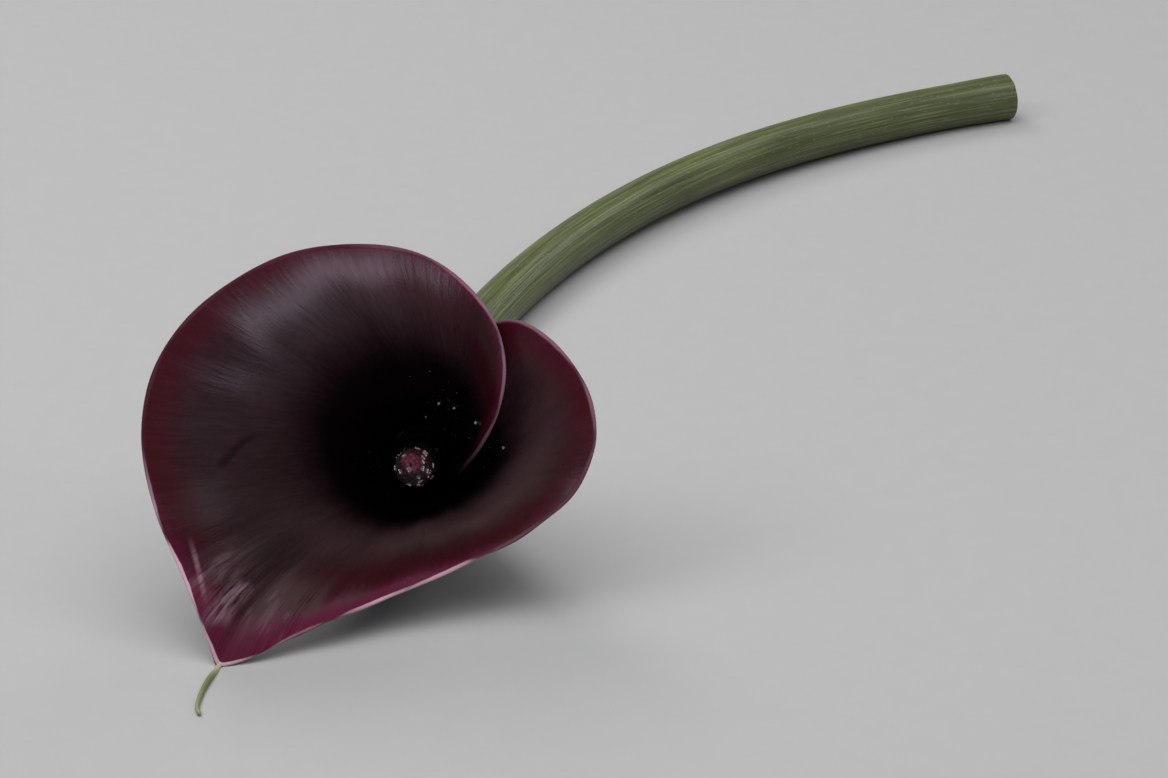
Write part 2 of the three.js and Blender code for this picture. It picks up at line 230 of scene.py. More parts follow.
# The red cap near the club's end, clear of pollen clumps, and one floret that always has one
CAP_MIDDLE = np.array((0, 0.0018, 0.0497))
CAP_REACH = 0.0017
CAP_CLEAR = 1.3 * CAP_REACH
BRIGHT_FLORET = np.array((-0.0005, -0.0007, 0.0502))

# Pollen on the florets: grains in clumps, and how strongly a floret is dusted under one
GRAIN_SIZES = (0.0001, 0.00024)
GRAIN_UNEVENNESS = 0.2
GRAINS_IN_A_CLUMP = (6, 12)
CLUMP_SPREAD = 0.00024
CLUMP_HEIGHT = 0.35 * FLORET_DEPTH
CLUMP_SHARE = 0.27
CLUMP_SHARE_ON_CAP = 0
CLUMP_SHARE_BEHIND = 0.03
DUSTY_LENGTH = 0.0042
DUST_STRENGTHS = (0.4, 1)

# Pollen on the throat's wall: specks by their shares across and along, and dustings by their
# middles across and along, the spreads of both, and the count
SPECK_SIZES = (0.00030, 0.00040)
POLLEN_SPECKS = ((-0.515, 0.253), (-0.568, 0.377), (-0.623, 0.417), (-0.72, 0.567), (0.565, 0.495))
DUST_SIZES = (0.00004, 0.00009)
DUSTINGS = (
    (-0.58, 0.36, 0.06, 0.08, 26), (0.54, 0.34, 0.03, 0.07, 12), (-0.1, 0.16, 0.06, 0.04, 10),
)
DUSTING_LIMITS = (0.05, 0.98)

# A grain's middle stands off the club or the wall by this share of its size
CLUMP_STAND = 0.4
WALL_STAND = 0.6

# Stem, with a low arch between the two places where it rests on the ground
STEM_RADIUS = 0.006
STEM_LENGTH = 0.290
STEM_BEND = 0.240
STEM_ARCH = 0.0008
REST_SINK = 0.0002
FIRST_REST = 0.092
SECOND_REST = 0.276
STEM_SIDES = 96
STEM_STEPS = 300
STEM_STEP_GROWTH = 1.1

# The neck inside the spathe's foot, as (run, radius), and the shoulder next to it
NECK = ((-0.004, 0.0043), (-0.0012, 0.0043), (-0.0006, 0.0043), (-0.0002, 0.0068))
SHOULDER_RADIUS = 0.0072
SHOULDER_FADE = 0.016

# Ribs of two counts along the stem, and slow swellings
RIB_COUNT = 10
RIB_DEPTH = 0.00006
SECOND_RIB_COUNT = 7
SECOND_RIB_SHARE = 0.6
SWELL_DEPTH = 0.00012
SWELL_RUN = 0.031

# The cut end: a little wider, bevelled, hollow and rough
CUT_RADIUS = 0.0063
CUT_WIDENING = 0.02
CUT_BEVEL = 0.0005
BEVEL_SHARES = (0.45, 0.8, 1)
BEVEL_START = STEM_LENGTH - (1 - BEVEL_SHARES[0]) * CUT_BEVEL
CUT_RINGS = 14
CUT_HOLLOW = 0.00035
CUT_BUMPS = 0.00007
CUT_DIRECTION_RUN = 0.001

# Camera: the point it looks at, its distance and its lens in millimetres
CAMERA_AIM = Vector((-0.013, -0.012, 0.0))
CAMERA_DISTANCE = 1.0
CAMERA_LENS = 128

# Lights: name, place, aim, size, watts, colour. The card lies low and shines up.
ROOM_RGB = (0.88, 0.92, 1)
ROOM_STRENGTH = 0.14
BLOOM = (-0.05, -0.11, 0.05)
LIGHTS = (
    ("top", (-0.10, -0.25, 1.3), BLOOM, (1.7, 1.4), 17.0, (1, 1, 1)),
    ("window", (-0.95, -0.45, 0.95), BLOOM, (0.6, 0.45), 3.6, (0.95, 0.97, 1.0)),
    ("side", (0.95, -0.55, 0.85), BLOOM, (0.3, 0.3), 1.0, (0.97, 0.97, 1.0)),
    ("back", (-0.55, 0.80, 1.0), BLOOM, (0.5, 0.5), 5.5, (1.0, 0.97, 0.96)),
    ("fill", (0.85, 0.80, 0.7), BLOOM, (0.5, 0.5), 2.5, (1, 1, 1)),
    ("card", (0.055, -0.51, 0.002), (0.055, -0.51, 1), (0.27, 0.54), 5.1, (0.87, 0.80, 1.0)),
)

# Colours
# Near black: the throat's own dark and painted shade there, in the crease and past the roll, and
# darker patches
THROAT_DARK_AND_SHADE_RGB = (0.0022, 0.0007, 0.001)
WALL_RGB = (0.019, 0.0088, 0.01)
WALL_LIGHT_RGB = (0.031, 0.0165, 0.018)
# Painted light on the lip of the wall above the throat
LIP_PAINTED_LIGHT_RGB = (0.078, 0.044, 0.045)
WINE_RGB = (0.036, 0.0038, 0.0066)
TUBE_RGB = (0.006, 0.002, 0.0025)
BACK_RGB = (0.016, 0.0035, 0.0065)
# Lighter streaks on the outside, partly a painted satin sheen
BACK_STREAK_AND_SHEEN_RGB = (0.034, 0.006, 0.014)
MAGENTA_RGB = (0.1, 0.0035, 0.031)
# The pale line along the margin, and the painted highlight of the line beside it
RIM_AND_HIGHLIGHT_RGB = (0.62, 0.38, 0.46)
# Colour of the painted highlight strokes near the tip
TIP_HIGHLIGHT_RGB = (0.2, 0.122, 0.15)
TAIL_ROOT_RGB = (0.48, 0.42, 0.3)
FOOT_RGB = (0.034, 0.026, 0.015)
TAIL_RGB = (0.175, 0.19, 0.08)
TAIL_END_RGB = (0.27, 0.27, 0.15)
FLORET_RGB = (0.006, 0.0016, 0.0022)
FLORET_LIGHT_RGB = (0.018, 0.006, 0.007)
CAP_RGB = (0.036, 0.0025, 0.006)
CAP_LIGHT_RGB = (0.105, 0.008, 0.019)
# Painted shade in the crevices between florets
CREVICE_SHADE_RGB = (0.004, 0.0008, 0.0014)
DUSTED_RGB = (0.13, 0.088, 0.092)
POLLEN_RGB = (0.34, 0.3, 0.28)
POLLEN_WARM_RGB = (0.3, 0.205, 0.21)
STEM_DARK_RGB = (0.052, 0.064, 0.022)
STEM_RGB = (0.1, 0.122, 0.042)
STEM_LIGHT_RGB = (0.19, 0.22, 0.085)
STEM_FLECK_RGB = (0.24, 0.26, 0.13)
CUT_RGB = (0.6, 0.63, 0.38)
CUT_BUNDLE_RGB = (0.26, 0.29, 0.12)
CUT_DRY_RGB = (0.4, 0.33, 0.2)
FLOOR_RGB = (0.42, 0.42, 0.417)
FLOOR_SHADE_RGB = (0.37, 0.37, 0.367)

# Where colours fade in, or in and out again. Distances from the margin:
WINE_BAND = (0.012, 0.001)
BACK_WINE_BAND = (0.020, 0.002)
PALE_EDGE = (0.00062, 0.00038)
MATT_EDGE = (0.0010, 0.0004)
SIDE_LINE_WIDTH = (0.0009, 0.0001)
# Distances from the tip:
MAGENTA_NEAR_TIP = (0.026, 0.004)
RIDGES_NEAR_TIP = (0.032, 0.010)
SIDE_LINE_ENDS = (0.029, 0.023, 0.020, 0.012)
STRAY_ENDS = (0.026, 0.018, 0.013, 0.007)
# Shares across:
SIDE_LINE_SIDE = (-0.01, -0.04)
ROLLED_SHADE = (-0.56, -0.68)
# Heights of the bloom, and distances along the stem:
BACK_RISE = (0.012, 0.060)
FOOT_RISE = (0.017, 0.001)
STEM_FLUSH = (0.045, 0.002)

# Width of the magenta band: at the least, and what its strength, the tip and the outside add
MAGENTA_LEAST = 0.0006
MAGENTA_REACH = 0.0026
MAGENTA_TIP_REACH = 0.005
MAGENTA_BACK_REACH = 0.0022

# How far the streaks make the edges of colours uneven
MARGIN_UNEVENNESS = 0.0035
FOOT_UNEVENNESS = 0.02
FLUSH_UNEVENNESS = 0.05


def lerp(start, end, share):
    return start + (end - start) * share


def smooth(share):
    """0 up to share 0 and 1 from share 1 on, softly between"""
    s = np.clip(share, 0, 1)
    return s * s * (3 - 2 * s)


def quarter_round(share):
    """1 up to share 0, then down a quarter of a circle to 0 at share 1"""
    return np.sqrt(np.maximum(0, 1 - np.maximum(0, share) ** 2))


def turn_between(start, end):
    """The shorter way round from one direction to another"""
    return end - start - TURN * np.round((end - start) / TURN)


def unit(vectors):
    return vectors / np.linalg.norm(vectors, axis=-1, keepdims=True)


# From the bloom's frame to the world, and the way up in the bloom's frame
BLOOM_TURN = np.array(Matrix.Rotation(math.pi / 2 - BLOOM_RISE, 3, "X"))
GROUND_UP = np.array((0, math.cos(BLOOM_RISE), math.sin(BLOOM_RISE)))


def to_world(points):
    return np.asarray(points) @ BLOOM_TURN.T + np.array(BLOOM_PLACE)


# The spathe's surface, with the same formulas as the solid


def margin_point(knot):
    turn, reach, height = knot
    angle = TIP_TURN + math.radians(turn)
    return np.array((reach * math.cos(angle), reach * math.sin(angle), height))


def curve_through(points):
    """A fine line through points, by centripetal Catmull-Rom, as (length so far, points)"""
    ends = [2 * points[0] - points[1], *points, 2 * points[-1] - points[-2]]
    line = []
    for p0, p1, p2, p3 in zip(ends, ends[1:], ends[2:], ends[3:]):
        t1 = np.linalg.norm(p1 - p0) ** 0.5
        t2 = t1 + np.linalg.norm(p2 - p1) ** 0.5
        t3 = t2 + np.linalg.norm(p3 - p2) ** 0.5
        for t in np.linspace(t1, t2, CURVE_STEPS, endpoint=False):
            a1 = lerp(p0, p1, t / t1)
            a2 = lerp(p1, p2, (t - t1) / (t2 - t1))
            a3 = lerp(p2, p3, (t - t2) / (t3 - t2))
            b1 = lerp(a1, a2, t / t2)
            b2 = lerp(a2, a3, (t - t1) / (t3 - t1))
            line.append(lerp(b1, b2, (t - t1) / (t2 - t1)))
    line.append(points[-1])
    line = np.array(line)
    lengths = np.concatenate(((0,), np.cumsum(np.linalg.norm(np.diff(line, axis=0), axis=1))))
    return lengths, line


def on_curve(curve, share):
    """Points at these shares of a curve's length"""
    lengths, line = curve
    at = np.clip(share, 0, 1) * lengths[-1]
    return np.stack([np.interp(at, lengths, line[:, i]) for i in range(3)], axis=-1)


INNER_CURVE = curve_through([margin_point(knot) for knot in (TIP, *INNER_MARGIN)])
OUTER_CURVE = curve_through([margin_point(knot) for knot in (TIP, *OUTER_MARGIN)])
INNER_ROLL = math.radians(-INNER_MARGIN[-1][0])
OUTER_ROLL = math.radians(OUTER_MARGIN[-1][0])


def rim_at(across):
    """Points of the margin at these shares across"""
    inner = on_curve(INNER_CURVE, -across)
    outer = on_curve(OUTER_CURVE, across)
    return np.where(across[..., None] < 0, inner, outer)


def soft_rim_at(across):
    """The margin with its corner at the tip evened out, for the wall below it"""
    reach = SOFT_REACH * (1 - smooth(np.abs(across) / SOFT_END))
    shares = np.linspace(-1, 1, SOFT_SAMPLES)
    return sum(rim_at(across + share * reach) for share in shares) / len(shares)


def bezier(knots, t):
    a, b, c, d = knots
    return (1 - t) ** 3 * a + 3 * (1 - t) ** 2 * t * b + 3 * (1 - t) * t * t * c + t ** 3 * d


def bow(height):
    """How far the bloom's axis is lifted at this height"""
    return FOOT_LIFT * np.maximum(0, 1 - height / FOOT_BEND_HEIGHT) ** 3


def bow_slope(height):
    return -3 * FOOT_LIFT * np.maximum(0, 1 - height / FOOT_BEND_HEIGHT) ** 2 / FOOT_BEND_HEIGHT


def rest_on_ground(points):
    """Points of the bloom's frame, those too low pressed up to the ground's clearance"""
    above = BLOOM_PLACE.z + points @ GROUND_UP - GROUND_CLEAR
    eased = (above + np.hypot(above, GROUND_EASE)) / 2
    return points + (eased - above)[..., None] * GROUND_UP


def sheet(across, along):
    """Middle of the sheet in the bloom's frame, with a row for each along"""
    rim = rim_at(across)
    soft = soft_rim_at(across)
    foot_turn = np.where(across < 0, INNER_ROLL, OUTER_ROLL) * across
    rolled = (foot_turn + INNER_ROLL) / TURN
    reach = np.hypot(soft[:, 0], soft[:, 1])
    top = soft[:, 2]
    soft_turn = np.arctan2(soft[:, 1], soft[:, 0])
    swing = turn_between(TIP_TURN + foot_turn, soft_turn)
    twist = turn_between(soft_turn, np.arctan2(rim[:, 1], rim[:, 0]))
    foot_radius = TUBE_INNER_RADIUS + ROLL_PITCH * rolled
    wide = smooth((reach - NARROW_REACH) / (WIDE_REACH - NARROW_REACH))
    tube_top = lerp(NARROW_TUBE_SHARE, WIDE_TUBE_SHARE, wide) * top
    tube_top_radius = foot_radius + (TUBE_SLOPE + TUBE_SLOPE_GAIN * rolled) * tube_top
    flare = (reach - tube_top_radius, top - tube_top)
    lean = FLARE_GAIN * np.arctan2(*flare)
    pull = FLARE_PULL * np.hypot(*flare)
    radii = (foot_radius, tube_top_radius, reach - pull * np.sin(lean), reach)
    heights = (0 * reach, tube_top, top - pull * np.cos(lean), top)

    t = along[:, None]
    near_rim = t ** RIM_POWER
    radius = bezier(radii, t) + (np.hypot(rim[:, 0], rim[:, 1]) - reach) * near_rim
    height = bezier(heights, t) + (rim[:, 2] - top) * near_rim
    angle = TIP_TURN + foot_turn + swing * smooth(t) + twist * near_rim
    slope = bow_slope(height)
    aside = radius * np.cos(angle)
    upwards = radius * np.sin(angle) / np.hypot(1, slope)
    points = np.stack((aside, bow(height) + upwards, height - slope * upwards), axis=-1)
    return rest_on_ground(points)


def sheet_directions(across, along):
    """Unit normals towards the outside, and unit directions up the veins"""
    left, right = (np.clip(across + step, -1, 1) for step in (-DIRECTION_STEP, DIRECTION_STEP))
    low, high = (np.clip(along + step, 0, 1) for step in (-DIRECTION_STEP, DIRECTION_STEP))
    sideways = sheet(right, along) - sheet(left, along)
    upwards = sheet(across, high) - sheet(across, low)
    return unit(np.cross(sideways, upwards)), unit(upwards)


def sheet_thickness(along):
    body = lerp(BASE_THICK, LEAF_THICK, smooth(along / FULL_THICK_FROM))
    return lerp(body, MARGIN_THICK, smooth((along - THINNING_FROM) / (1 - THINNING_FROM)))


def fold_height(across, along):
    """Soft lengthwise folds, deeper near the tip, with a slighter unevenness over them"""
    near_tip = smooth(1 - np.abs(across) / TIP_FOLD_REACH)
    near_tip = near_tip * smooth((along - TIP_FOLD_START) / TIP_FOLD_RAMP)
    near_tip = near_tip * smooth((1 - along) / TIP_FOLD_END_RAMP)
    fade = smooth(along / FOLD_RAMP) * np.sqrt(1 - np.abs(across)) * (1 + TIP_FOLD_GAIN * near_tip)
    folds = np.cos(TURN * FOLD_COUNT * across)
    uneven = 1
    for waves_across, waves_along, start in UNEVEN_WAVES:
        uneven = uneven * np.sin(waves_across * across + waves_along * along + start)
    return fade * (FOLD_DEPTH * folds + UNEVEN_DEPTH * uneven)


# Meshes


def grid_faces(rows, columns, closed=False):
    faces = []
    last = columns if closed else columns - 1
    for row in range(rows - 1):
        for column in range(last):
            a = row * columns + column
            b = row * columns + (column + 1) % columns
            faces.append((a, b, b + columns, a + columns))
    return faces


def mesh_piece(name, points, faces, values):
    """An object that lies flat on the ground, with one number a point for each name in values"""
    points[:, 2] = np.maximum(points[:, 2], 0)
    mesh = bpy.data.meshes.new(name)
    mesh.from_pydata(points.tolist(), [], faces)
    for key, numbers in values.items():
        layer = mesh.attributes.new(key, "FLOAT", "POINT")
        layer.data.foreach_set("value", np.asarray(numbers, dtype=np.float32))
    mesh.polygons.foreach_set("use_smooth", [True] * len(mesh.polygons))
    mesh.update()
    piece = bpy.data.objects.new(name, mesh)
    bpy.context.collection.objects.link(piece)
    return piece


def carried_frames(path, up):
    """Two sideways directions at each point of a path, carried along it without twist"""
    ahead = unit(np.gradient(path, axis=0))
    side = np.array(up, dtype=float)
    sides = []
    for direction in ahead:
        side = side - direction * (side @ direction)
        side = side / np.linalg.norm(side)
        sides.append(side)
    sides = np.array(sides)
    return sides, np.cross(ahead, sides)


def round_path(side, over, angles):
    """Unit directions square to a path, for each of its places and each angle round it"""
    turns = angles[..., None]
    return np.cos(turns) * side[:, None] + np.sin(turns) * over[:, None]


def tube_points(path, up, radii):
    """Rings of points round a path, with a row of radii for each of its places"""
    side, over = carried_frames(path, up)
    angles = np.arange(radii.shape[1]) * TURN / radii.shape[1]
    return path[:, None] + round_path(side, over, angles) * radii[..., None]


def spathe_sheet():
    """The rolled sheet, both faces and a rounded lip, as world points, faces and painting values"""
    across = np.linspace(-1, 1, 2 * COLUMNS_PER_HALF + 1)
    along = np.linspace(0, 1, ROWS + 1)
    t = along[:, None]
    middle = sheet(across, along)
    normal, upwards = sheet_directions(across, along)
    to_rib = np.linalg.norm(middle - sheet(np.zeros(1), along), axis=-1)
    rib = MIDRIB_THICK * np.exp(-(to_rib / MIDRIB_HALF_WIDTH) ** 2) * smooth(t / MIDRIB_FULL_FROM)
    fold = fold_height(across[None, :], t)
    half = sheet_thickness(t) / 2
    inside = middle + normal * (fold - half)[..., None]
    outside = middle + normal * (fold + half + rib)[..., None]

    lip_turns = np.linspace(0, math.pi, LIP_STEPS + 1)[1:-1, None, None]
    centre = (inside[-1] + outside[-1]) / 2
    reach = (outside[-1] - inside[-1]) / 2
    out = upwards[-1] * np.linalg.norm(reach, axis=-1, keepdims=True)
    lip = centre - np.cos(lip_turns) * reach + np.sin(lip_turns) * out

    points = np.concatenate((inside, lip, outside[::-1]))
    faces = [face[::-1] for face in sheet_faces(*points.shape[:2])]
    return to_world(points.reshape(-1, 3)), faces, sheet_values(across, along, points)


def sheet_faces(rows, columns):
    """Faces of the sheet folded over its lip: the skin, the strip at the foot and both side ends"""
    faces = grid_faces(rows, columns)
    right = columns - 1
    last = (rows - 1) * columns
    for column in range(right):
        faces.append((column + 1, column, last + column, last + column + 1))
    for row in range((rows - 1) // 2):
        a = row * columns
        b = (rows - 1 - row) * columns
        over_a = a + columns
        over_b = b - columns
        side = (a, over_a, b) if over_a == over_b else (a, over_a, over_b, b)
        faces.append(side)
        faces.append(tuple(right + i for i in (a, *side[:0:-1])))
    return faces


def sheet_values(across, along, points):
    """Painting values of the sheet's points, up its inside, over the lip and down its back"""
    rows, columns = points.shape[:2]
    up_and_down = np.concatenate((along, np.ones(LIP_STEPS - 1), along[::-1]))
    lip_share = np.linspace(1, 0, LIP_STEPS + 1)[1:-1]
    inside = np.concatenate((np.ones(len(along)), lip_share, np.zeros(len(along))))
    throat, lip = throat_values(across, points)
    tip = np.linalg.norm(points - margin_point(TIP), axis=-1)
    return {
        "across": np.tile(across, rows),
        "along": np.repeat(up_and_down, columns),
        "inside": np.repeat(inside, columns),
        "edge": edge_distance(points, across).ravel(),
        "tip": tip.ravel(),
        "stroke": highlight_stroke_strength(across, tip).ravel(),
        "height": points[..., 2].ravel(),
        "throat": throat.ravel(),
        "lip": lip.ravel(),
        "magenta": np.tile(np.interp(across, *zip(*MAGENTA_BAND)), rows),
        "pale": np.tile(np.interp(across, *zip(*PALE_LINE)), rows),
    }


def throat_values(across, points):
    """How far each point is out of the throat's black, partly painted shade, from 0 to 1, and how
    much painted light it gets as lip
    """
    places, *columns = zip(*THROAT_TOP)
    top, fade, lightness, reach = (np.interp(across, places, column) for column in columns)
    above = points[..., 2] - top
    lip_end = smooth((above / reach - LIP_FADE_FROM) / (1 - LIP_FADE_FROM))
    return smooth(above / fade + 0.5), lightness * smooth(above / fade) * (1 - lip_end)


def highlight_stroke_strength(across, tip):
    """How strong the painted highlight strokes are at each point, from its distance to the tip"""
    total = 0 * tip
    for place, half_width, nearest, furthest, strength in TIP_HIGHLIGHT_STROKES:
        aside = np.abs(across - place) / half_width
        ahead = np.abs(2 * (tip - nearest) / (furthest - nearest) - 1)
        fades = smooth(STROKE_OUT_ASIDE - aside) * smooth(2 * (STROKE_OUT_AHEAD - ahead))
        total = total + strength * fades
    return np.minimum(1, total)


def edge_distance(points, across):
    """Distance of each point to the margin of its own layer of the roll"""
    rim_across = np.linspace(-1, 1, RIM_SAMPLES)
    rim = rest_on_ground(rim_at(rim_across))
    distances = np.empty(points.shape[:2])
    for column, place in enumerate(across):
        own = rim[np.abs(rim_across - place) < OWN_LAYER]
        distances[:, column] = np.linalg.norm(points[:, column, None] - own, axis=-1).min(axis=1)
    return distances


def tail_tube():
    """The slender tail beyond the tip, as world points, faces and painting values"""
    midrib = np.zeros(1)
    tip = to_world(sheet(midrib, np.ones(1))[0])[0]
    roots = sheet(midrib, TAIL_ROOTS)[:, 0]
    normal = sheet_directions(midrib, TAIL_ROOTS)[0][:, 0]
    sunk = to_world(roots + normal * (FOLD_DEPTH + TAIL_RADIUS / 2))
    lying = [np.array((tip[0] + x, tip[1] + y, z)) for x, y, z in TAIL_WAY]
    t = np.linspace(0, 1, TAIL_STEPS + 1)
    path = on_curve(curve_through([*sunk, *lying]), t)
    thick = lerp(TAIL_RADIUS, TAIL_END_RADIUS, smooth(t))
    thick = lerp(TAIL_ROOT_RADIUS, thick, smooth((t - TAIL_SWELL_FROM) / TAIL_SWELL_OVER))
    rounding = quarter_round((t - TAIL_ROUND_FROM) / (1 - TAIL_ROUND_FROM))
    thick = thick * np.maximum(TAIL_BLUNTNESS, rounding)
    rings = tube_points(path, (0, 0, 1), np.repeat(thick[:, None], TAIL_SIDES, axis=1))
    points, faces = closed_tube(rings)
    return points, faces, {"tail": tube_values(t, TAIL_SIDES)}


def foot_ring():
    """The callus at the spathe's foot, round the stem's neck"""
    angles = np.arange(FOOT_SIDES) * TURN / FOOT_SIDES
    outline = np.array(FOOT_RING)
    slope = bow_slope(0)
    upwards = outline[:, 0, None] * np.sin(angles)
    rise = outline[:, 1, None] + 0 * upwards
    tilt = np.hypot(1, slope)
    points = np.stack((
        outline[:, 0, None] * np.cos(angles),
        bow(0) + (upwards + slope * rise) / tilt,
        (rise - slope * upwards) / tilt,
    ), axis=-1)
    rows = len(outline)
    faces = grid_faces(rows, FOOT_SIDES, closed=True)
    last = (rows - 1) * FOOT_SIDES
    for i in range(FOOT_SIDES):
        j = (i + 1) % FOOT_SIDES
        faces.append((j, i, last + i, last + j))
    return to_world(points.reshape(-1, 3)), faces, {"foot": np.ones(rows * FOOT_SIDES)}


def tube_values(numbers, sides):
    """One number for each ring of a closed tube, and for the middles of its two ends"""
    return np.concatenate((np.repeat(numbers, sides), (numbers[0], numbers[-1])))


def closed_tube(rings):
    """Points and faces of rings closed at both ends, each over one more point at its middle"""
    rows, sides = rings.shape[:2]
    faces = grid_faces(rows, sides, closed=True)
    first = rows * sides
    last = (rows - 1) * sides
    for i in range(sides):
        j = (i + 1) % sides
        faces.append((first, j, i))
        faces.append((first + 1, last + i, last + j))
    ends = (rings[0].mean(axis=0), rings[-1].mean(axis=0))
    return np.concatenate((rings.reshape(-1, 3), ends)), faces


def build_spathe():
    parts = (spathe_sheet(), tail_tube(), foot_ring())
    all_points = []
    all_faces = []
    all_values = {name: [] for _, _, values in parts for name in values}
    for points, faces, values in parts:
        start = sum(len(part) for part in all_points)
        all_points.append(points)
        all_faces += [tuple(start + i for i in face) for face in faces]
        for name, numbers in all_values.items():
            unsaid = FAR if name in ("edge", "tip") else 0
            numbers.append(values.get(name, np.full(len(points), unsaid)))
    values = {name: np.concatenate(numbers) for name, numbers in all_values.items()}
    return mesh_piece("lily_spathe", np.concatenate(all_points), all_faces, values)


# Spadix


def spadix_surface(t):
    """Middles and radii of the smooth club, for places along it from 0 to 1"""
    height = SPADIX_START + SPADIX_LENGTH * t
    middle = np.stack((0 * t, bow(height) + SPADIX_LIFT * t * t, height), axis=-1)
    rounding = quarter_round((t - SPADIX_ROUND_FROM) / (1 - SPADIX_ROUND_FROM))
    return middle, SPADIX_RADIUS * rounding


def spadix_places(steps):
    """Places from 0 to 1 that lie evenly along the club's outline, and the outline's length"""
    fine = 1 - (1 - np.linspace(0, 1, OUTLINE_SAMPLES)) ** 2
    middle, radius = spadix_surface(fine)
    lengths = np.concatenate(((0,), np.cumsum(np.hypot(np.diff(middle[:, 2]), np.diff(radius)))))
    return np.interp(np.linspace(0, lengths[-1], steps), lengths, fine), lengths[-1]


def spadix_points(t, angles):
    """Points of the smooth club at these places along it, one row of angles for each"""
    middle, radius = spadix_surface(t)
    side, over = carried_frames(middle, (0, 1, 0))
    return middle[:, None] + round_path(side, over, angles) * radius[:, None, None]


def floret_middles():
    """Florets wind round the club, each a golden angle and the same area on from the last"""
    t, length = spadix_places(AREA_SAMPLES)
    radius = spadix_surface(t)[1]
    area = np.cumsum(TURN * radius) * length / len(t)
    count = int(area[-1] / (FLORET_PITCH ** 2 * math.sqrt(3) / 2))
    at = np.interp((np.arange(count) + 0.5) / count * area[-1], area, t)
    angles = np.arange(count) * GOLDEN_ANGLE
    return spadix_points(at, angles[:, None])[:, 0]


def dusted_florets(middles):
    """Which florets carry pollen: many near the club's end, none on its cap, few further back"""
    rng = np.random.default_rng(SEED + 3)
    share = np.full(len(middles), CLUMP_SHARE)
    share[np.linalg.norm(middles - CAP_MIDDLE, axis=1) < CAP_CLEAR] = CLUMP_SHARE_ON_CAP
    share[np.linalg.norm(middles - BRIGHT_FLORET, axis=1) < FLORET_PITCH / 2] = 1
    share[middles[:, 2] < SPADIX_START + SPADIX_LENGTH - DUSTY_LENGTH] = CLUMP_SHARE_BEHIND
    return rng.random(len(middles)) < share


def nearest_florets(points, middles):
    """Which floret is nearest to each point, and how far away its middle is"""
    tree = kdtree.KDTree(len(middles))
    for i, middle in enumerate(middles):
        tree.insert(middle, i)
    tree.balance()
    found = [tree.find(point) for point in points]
    return np.array([hit[1] for hit in found]), np.array([hit[2] for hit in found])


def varied(draws):
    """Factors about 1 from random numbers between 0 and 1"""
    return 1 + FLORET_VARIETY * (draws - 0.5)


def build_spadix():
    rng = np.random.default_rng(SEED)
    t = spadix_places(SPADIX_STEPS + 1)[0][:-1]
    angles = np.tile(np.arange(SPADIX_SIDES) * TURN / SPADIX_SIDES, (SPADIX_STEPS, 1))
    rings = spadix_points(t, angles)
    outward = rings - spadix_surface(t)[0][:, None]
    normals = unit(np.cross(np.gradient(rings, axis=1), np.gradient(rings, axis=0)))
    inwards = (normals * outward).sum(axis=-1, keepdims=True) < 0
    normals = np.where(inwards, -normals, normals)

    middles = floret_middles()
    tone = rng.random(len(middles))
    own_depth = FLORET_DEPTH * varied(rng.random(len(middles)))
    dust = dusted_florets(middles) * rng.uniform(*DUST_STRENGTHS, len(middles))
    which, away = nearest_florets(rings.reshape(-1, 3), middles)
    dome = quarter_round(away / FLORET_RADIUS)
    rise = own_depth[which] * (dome - FLORET_SINK)
    points, faces = closed_tube(rings + normals * rise.reshape(rings.shape[:2])[..., None])

    # The last two numbers of each value belong to the middles of the tube's two ends
    from_cap = np.linalg.norm(middles[which] - CAP_MIDDLE, axis=1)
    cap = 1 - smooth(from_cap / (CAP_REACH * varied(tone[which])) - 1)
    values = {
        "dome": np.concatenate((dome, (0, 1))),
        "tone": np.concatenate((tone[which], (0.5, 0.5))),
        "dust": np.concatenate((dust[which], (0, 0))),
        "cap": np.concatenate((cap, (0, 1))),
    }
    return mesh_piece("lily_spadix", to_world(points), faces, values)


# Stem


def stem_place(run):
    """The stem's middle at each distance from the spathe's foot; below 0 it is inside the foot"""
    foot = to_world(np.array((0, bow(0), 0)))
    rise = BLOOM_RISE + math.atan(bow_slope(0))
    neck = np.maximum(0, -run)
    run = np.maximum(0, run)
    wave = (1 - np.cos(TURN * (run - FIRST_REST) / (SECOND_REST - FIRST_REST))) / 2
    level = STEM_RADIUS - REST_SINK + STEM_ARCH * wave
    drop = foot[2] - level
    down = np.maximum(0, 1 - run * math.tan(rise) / (2 * drop)) ** 2
    return np.stack((
        foot[0] + STEM_BEND * (1 - np.cos(run / STEM_BEND)),
        foot[1] + STEM_BEND * np.sin(run / STEM_BEND) - neck * math.cos(rise),
        level + drop * down + neck * math.sin(rise),
    ), axis=-1)


def stem_runs():
    """Distances of the stem's rings from the spathe's foot: neck, length and bevel"""
    neck = np.array(NECK)[:, 0]
    length = STEM_LENGTH * np.linspace(0, 1, STEM_STEPS + 1) ** STEM_STEP_GROWTH
    bevel = STEM_LENGTH + CUT_BEVEL * (np.array(BEVEL_SHARES) - 1)
    return np.concatenate((neck, length[length < STEM_LENGTH - CUT_BEVEL], bevel))


def stem_radii(run, angles, shifts):
    """Radii with ribs and swellings: one row for each run and one column for each angle"""
    widening = smooth((run - STEM_LENGTH + CUT_WIDENING) / CUT_WIDENING)
    base = lerp(SHOULDER_RADIUS, STEM_RADIUS, smooth(run / SHOULDER_FADE))
    base += (CUT_RADIUS - STEM_RADIUS) * widening
    second_ribs = SECOND_RIB_SHARE * np.cos(SECOND_RIB_COUNT * angles + shifts[0])
    ribs = RIB_DEPTH * (np.cos(RIB_COUNT * angles) + second_ribs)
    swell = np.sin(run / SWELL_RUN + shifts[1])[:, None] * np.cos(2 * angles + shifts[2])
    bevel = CUT_BEVEL * (1 - quarter_round((run - BEVEL_START) / CUT_BEVEL))
    radii = base[:, None] + ribs + SWELL_DEPTH * swell - bevel[:, None]
    radii[:len(NECK)] = np.array(NECK)[:, 1, None]
    return radii


